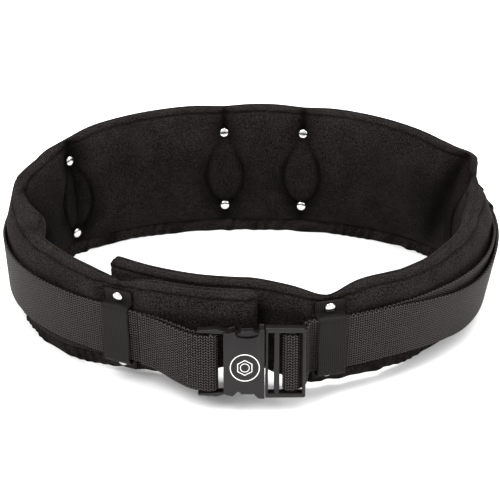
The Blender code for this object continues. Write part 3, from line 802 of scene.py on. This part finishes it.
def keeper_line(angle, layers):
    """(height, offset) along a keeper's middle, from its top end to its bottom end."""
    centre, reach = float(middle(angle)), float(rivet_reach(angle))
    low = 0.0038 + KEEPER_THICK / 2
    high = WEB_OFFSET + (layers - 1) * LAYER + WEB_THICK / 2 + 0.0005 + KEEPER_THICK / 2
    rise = WEB_WIDTH / 2
    foot = max(rise + 0.0012, reach - RIVET_RADIUS - 0.0012)
    rows = [(reach + KEEPER_END, low + 0.0003), (reach + 0.002, low), (foot + 0.0006, low)]
    rows += [(foot - 0.0002, low + 0.0010), (rise + 0.0009, high - 0.0012)]
    rows += [(rise - 0.0010, high), (rise - 0.010, high + 0.0004)]
    up = [(centre + z, o) for z, o in rows]
    slack = FRONT_SLACK if abs(angle) > 120 else 0.0
    down = [(centre - z - slack * (z < foot + 0.001), o + slack * 0.5 * (o > high - 0.002)) for z, o in rows]
    return up + [(centre, high + 0.0005)] + down[::-1]


def make_keeper(name, angle, layers, look):
    """A keeper: a short strap that stands across the web, from rivet to rivet."""
    rows = keeper_line(angle, layers)
    points = [belt_point(angle, z, o - tuck(angle, z)) for z, o in rows]
    side = np.cross(belt_up(angle), outward(angle))
    return strap(f"keeper_strap_{name}", points, [side] * len(points), look, KEEPER_WIDTH, KEEPER_THICK)


# ================================================================ rivets and stitches


def turned(name, profile, look, sides=40):
    """A solid of revolution round +Z from (radius, height) points that start and end on the axis."""
    angle = np.linspace(0, 2 * np.pi, sides, endpoint=False)
    rows = []
    for radius, height in profile:
        r = max(radius, 1e-5)
        rows.append(np.stack((r * np.cos(angle), r * np.sin(angle), np.full(sides, height)), -1))
    grid = np.array(rows)
    uvs = np.zeros((len(profile), sides + 1, 2))
    return mesh_from_grid(name, grid, uvs, look)


def rivet_matrix(angle, z, offset):
    """The place of a cap whose axis leaves the leaning wall at right angles."""
    up = Vector(belt_up(angle))
    out = Vector(outward(angle))
    side = up.cross(out).normalized()
    face = side.cross(up)
    turn = Matrix((side, up, face)).transposed().to_4x4()
    return Matrix.Translation(Vector(belt_point(angle, z)) + face * (offset - tuck(angle, z))) @ turn


def dome(steps=8):
    """A domed cap's profile, from its rim's underside to its crown."""
    rim = [(0.0, -0.0004), (RIVET_RADIUS * 0.9, -0.0004), (RIVET_RADIUS, 0.0)]
    for i in range(1, steps + 1):
        t = math.pi / 2 * i / steps
        rim.append((RIVET_RADIUS * math.cos(t) ** 0.75, RIVET_DOME * math.sin(t)))
    return rim


def make_rivets(name, angle, look):
    """The keeper's two rivets, each a head outside and a cap inside."""
    made = []
    for end, way in (("top", 1), ("bottom", -1)):
        z = float(middle(angle) + way * rivet_reach(angle))
        head = turned("head", dome(), look)
        head.matrix_world = rivet_matrix(angle, z, 0.0038 + KEEPER_THICK + 0.0004)
        cap = turned("cap", dome(), look)
        cap.matrix_world = rivet_matrix(angle, z, -PINCHED_HALF - 0.0003) @ Matrix.Rotation(math.pi, 4, "X")
        rivet = joined(f"rivet_{name}_{end}_caps", [head, cap])
        rivet.data.shade_smooth()
        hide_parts(f"rivet_head_{name}_{end}", f"rivet_cap_{name}_{end}")
        made.append(rivet)
    return made


def stitch_row(points, look, pitch=0.0030, length=0.0022, radius=0.0004):
    """Lock stitches along a line, as small capsules."""
    p, _ = smoothed(points, points, pitch)
    straight = length / 2 - radius
    profile = [(0, -length / 2), (radius, -straight), (radius, straight), (0, length / 2)]
    made = []
    for a, b in zip(p[:-1], p[1:]):
        axis = Vector(b - a)
        stitch = turned("stitch", profile, look, 6)
        turn = axis.to_track_quat("Z", "Y").to_matrix().to_4x4()
        stitch.matrix_world = Matrix.Translation(Vector((a + b) / 2)) @ turn
        made.append(stitch)
    return made


# ================================================================ buckle


def prism(name, outline, low, high, look, bevel=0.0007, segments=3):
    """An outline in (u, v), extruded between two depths, with rounded edges."""
    shape = bmesh.new()
    bottom = [shape.verts.new((u, v, low)) for u, v in outline]
    face = shape.faces.new(bottom)
    grown = bmesh.ops.extrude_face_region(shape, geom=[face])
    lifted = [g for g in grown["geom"] if isinstance(g, bmesh.types.BMVert)]
    bmesh.ops.translate(shape, verts=lifted, vec=(0, 0, high - low))
    bmesh.ops.recalc_face_normals(shape, faces=shape.faces)
    if bevel:
        sharp = [e for e in shape.edges if len(e.link_faces) == 2 and e.calc_face_angle() > 0.5]
        rounding = {"offset": bevel, "segments": segments, "profile": 0.5, "clamp_overlap": True}
        bmesh.ops.bevel(shape, geom=sharp, affect="EDGES", **rounding)
    mesh = bpy.data.meshes.new(name)
    shape.to_mesh(mesh)
    shape.free()
    mesh.materials.append(look)
    mesh.shade_smooth()
    mesh.set_sharp_from_angle(angle=math.radians(40))
    obj = bpy.data.objects.new(name, mesh)
    bpy.context.scene.collection.objects.link(obj)
    obj.matrix_world = BUCKLE
    return obj


def block(name, u, v, w, look, bevel=0.0007):
    """A rounded block between two values of each of u, v and w."""
    outline = [(u[0], v[0]), (u[1], v[0]), (u[1], v[1]), (u[0], v[1])]
    return prism(name, outline, w[0], w[1], look, bevel)


def round_notch(centre, half, edge, depth, steps=9):
    """Points of a rounded notch cut down from a top edge, from right to left."""
    found = []
    for i in range(steps + 1):
        t = math.pi * i / steps
        found.append((centre + half * math.cos(t), edge - depth * math.sin(t) ** 0.6))
    return found


def make_socket(look):
    """The female half: two notched plates, side walls, rails and the bar."""
    mouth, root = 0.0312, 0.0272
    top = [(0.0, mouth), (-0.0042, mouth)]
    top += round_notch(-0.0146, 0.0100, 0.0302, 0.0068)
    top += [(-0.0262, 0.0290), (-0.0334, root), (-0.0340, root - 0.001)]
    under = [(-0.0340, -root + 0.001), (-0.0334, -root), (-0.0262, -0.0290)]
    under += [(-0.0225, -0.0248), (-0.0105, -0.0248), (-0.0060, -0.0302), (-0.0042, -mouth), (0.0, -mouth)]
    plate = top + under
    parts = [
        prism("front_plate", plate, 0.0046, 0.0074, look, 0.0008),
        prism("back_plate", plate, -0.0074, -0.0046, look, 0.0008),
        block("end_wall", (-0.0340, -0.0310), (-root + 0.001, root - 0.001), (-0.0060, 0.0060), look),
    ]
    for side in (1, -1):
        for u0, u1 in ((-0.0340, -0.0262), (-0.0042, 0.0)):
            high = 0.0302 if u1 == 0.0 else root
            edge = sorted((side * (high - 0.0030), side * (high + 0.0006)))
            parts.append(block("side_wall", (u0, u1), edge, (-0.0062, 0.0062), look, 0.0006))
        rail = [
            (-0.0320, side * 0.0264),
            (-0.0550, side * 0.0276),
            (-0.0556, side * 0.0286),
            (-0.0548, side * 0.0296),
            (-0.0400, side * 0.0306),
            (-0.0320, side * 0.0284),
        ]
        parts.append(prism("rail", rail[::side], -0.0042, 0.0040, look, 0.0009))
    half_bar = 0.0285
    profile = [(0, -half_bar), (BAR_RADIUS, -half_bar), (BAR_RADIUS, half_bar), (0, half_bar)]
    bar = turned("bar", profile, look, 20)
    bar.matrix_world = BUCKLE @ Matrix.Translation((BAR_U, 0, 0)) @ Matrix.Rotation(-math.pi / 2, 4, "X")
    parts.append(bar)
    return joined("buckle_socket_shell", parts)


def make_plug(look):
    """The male half: a ladder frame with its end wall, middle bar and web bar."""
    tall, short = 0.0318, 0.0306
    rails = []
    for side in (1, -1):
        rail = [(0.0006, 0.0277), (0.0341, 0.0277), (0.0341, short), (0.0328, short + 0.0008), (0.0006, tall)]
        rail = [(u, side * v) for u, v in rail]
        rails.append(prism("rail", rail[::side], -0.0045, 0.0045, look, 0.0008))
    parts = rails + [
        block("end_wall", (0.0006, 0.0030), (-0.0300, 0.0300), (-0.0045, 0.0045), look),
        block("middle_bar", (0.0078, 0.0124), (-0.0285, 0.0285), (-0.0004, 0.0040), look, 0.0009),
        block("web_bar", WEB_BAR, (-0.0285, 0.0285), (-0.0014, 0.0014), look, 0.0009),
        block("right_bar", (0.0313, 0.0341), (-0.0290, 0.0290), (-0.0014, 0.0045), look, 0.0009),
    ]
    return joined("buckle_plug_frame", parts)


def make_prong(name, side, look):
    """A spring prong with three finger ridges. side is 1 for the upper one and -1 for the lower."""
    outline = [(-0.0002, 0.0215), (-0.0002, 0.0268), (-0.0064, 0.0268)]
    outline += [(-0.0072, 0.0272), (-0.0090, 0.0280), (-0.0200, 0.0276), (-0.0222, 0.0262)]
    outline += [(-0.0302, 0.0235), (-0.0302, 0.0200), (-0.0240, 0.0205), (-0.0120, 0.0225)]
    points = [(u, side * v) for u, v in outline]
    parts = [prism("arm", points[::side], -0.0040, 0.0040, look, 0.0006)]
    for i in range(3):
        w = -0.0028 + 0.0028 * i
        edge = sorted((side * 0.0262, side * 0.0289))
        parts.append(block("ridge", (-0.0198, -0.0092), edge, (w - 0.0006, w + 0.0006), look, 0.0004))
    return joined(name, parts)


def make_emblem(look):
    """A plain printed badge: a thin ring round a hexagon nut."""

    def band(name, outer, inner, sides, turn=0.0):
        angle = np.linspace(0, 2 * np.pi, sides, endpoint=False) + turn
        profile = ((outer, 0.0), (outer, INK_THICK), (inner, INK_THICK), (inner, 0.0))
        rows = [np.stack((r * np.cos(angle), r * np.sin(angle), np.full(sides, h)), -1) for r, h in profile]
        made = mesh_from_grid(name, np.array(rows), np.zeros((4, sides + 1, 2)), look, caps=False)
        for polygon in made.data.polygons:
            polygon.use_smooth = False
        made.matrix_world = BUCKLE @ Matrix.Translation(EMBLEM_AT)
        return made

    ring = band("ring", 0.0124, 0.0116, 96)
    nut = band("nut", 0.0072, 0.0064, 6, math.radians(30))
    bore = band("bore", 0.0040, 0.0034, 48)
    return joined("emblem_ring", [ring, nut, bore])


# ================================================================ the whole belt

PAD_PIECES = ("foam_core", "inner_lining", "outer_shell", "bottom_hem", "top_binding")

pad_main = make_pad("pad_right_and_back", SPLIT, RIGHT_END, LOOKS["canvas"])
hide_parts(*[f"{piece}_main" for piece in PAD_PIECES])
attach(pad_main, "belt")

pad_left = make_pad("pad_left", SPLIT, LEFT_END, LOOKS["canvas"])
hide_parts(*[f"{piece}_left" for piece in PAD_PIECES])
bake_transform(pad_left)

web_left = make_left_web(LOOKS["web"])
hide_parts("web_left")
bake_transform(web_left)

web_right = make_right_web(LOOKS["web"])
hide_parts("web_right_with_tail")
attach(web_right, "belt")

tail_end = make_tail_end(LOOKS["web"])
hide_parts("web_tail_end")
tuple(belt_point(-75.0, 0.0586))
tuple(belt_point(-65.0, 0.0586))
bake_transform(tail_end)

for keeper_name, (at, layers, body) in KEEPERS.items():
    strap_made = make_keeper(keeper_name, at, layers, LOOKS["keeper"])
    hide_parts(f"keeper_{keeper_name}")
    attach(strap_made, body)
    for rivet in make_rivets(keeper_name, at, LOOKS["nickel"]):
        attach(rivet, body)

socket = make_socket(LOOKS["plastic"])
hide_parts("buckle_female_body")
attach(socket, "buckle_socket")
emblem = make_emblem(LOOKS["ink"])
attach(emblem, "buckle_socket")
plug = make_plug(LOOKS["plastic"])
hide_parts("buckle_male_frame")
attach(plug, "buckle_plug")
for prong_name, side in (("upper", 1), ("lower", -1)):
    prong = make_prong(f"prong_{prong_name}_arm", side, LOOKS["plastic"])
    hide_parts(f"buckle_prong_{prong_name}")
    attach(prong, f"prong_{prong_name}")

# ================================================================ floor, light and camera


def area(name, at, aim, size, power):
    """A rectangular lamp at a place, pointed at another."""
    lamp = bpy.data.lights.new(name, "AREA")
    lamp.shape = "RECTANGLE"
    lamp.size, lamp.size_y = size
    lamp.energy = power
    obj = bpy.data.objects.new(name, lamp)
    bpy.context.scene.collection.objects.link(obj)
    obj.location = at
    obj.rotation_euler = (Vector(aim) - Vector(at)).to_track_quat("-Z", "Y").to_euler()
    return obj


def make_floor():
    mesh = bpy.data.meshes.new("floor")
    half = 6.0
    corners = [(-half, -half, 0), (half, -half, 0), (half, half, 0), (-half, half, 0)]
    mesh.from_pydata(corners, [], [(0, 1, 2, 3)])
    s = Shader("studio_floor", 0.9, Base_Color=(0.93, 0.93, 0.93, 1), Specular_IOR_Level=0.1)
    mesh.materials.append(s.material)
    obj = bpy.data.objects.new("floor", mesh)
    bpy.context.scene.collection.objects.link(obj)
    return obj


floor = make_floor()
lights = [
    area("key_light", (-1.2, -1.0, 2.0), (0, 0, 0.05), (1.3, 1.3), 46.0),
    area("top_light", (0.3, 0.5, 2.4), (0, 0, 0), (2.2, 1.8), 78.0),
    area("right_fill", (1.7, -0.9, 1.2), (0, 0, 0.05), (0.8, 0.8), 16.0),
]

world = bpy.data.worlds.new("studio")
bpy.context.scene.world = world
world.use_nodes = True
background = world.node_tree.nodes["Background"]
background.inputs["Color"].default_value = (1, 1, 1, 1)
background.inputs["Strength"].default_value = 1.25

CAMERA_ELEVATION, CAMERA_DISTANCE, AIM_HEIGHT = math.radians(28), 1.5, 0.053
camera_data = bpy.data.cameras.new("camera")
camera_data.lens = 116.64
camera_data.clip_end = 30
camera = bpy.data.objects.new("camera", camera_data)
bpy.context.scene.collection.objects.link(camera)
aim = Vector(RING_CENTRE) + Vector((0, 0, AIM_HEIGHT))
back_off = Vector((0, -math.cos(CAMERA_ELEVATION), math.sin(CAMERA_ELEVATION))) * CAMERA_DISTANCE
camera.location = aim + back_off
camera.rotation_euler = (-back_off).to_track_quat("-Z", "Y").to_euler()
bpy.context.scene.camera = camera
bpy.context.scene.view_settings.view_transform = "Standard"
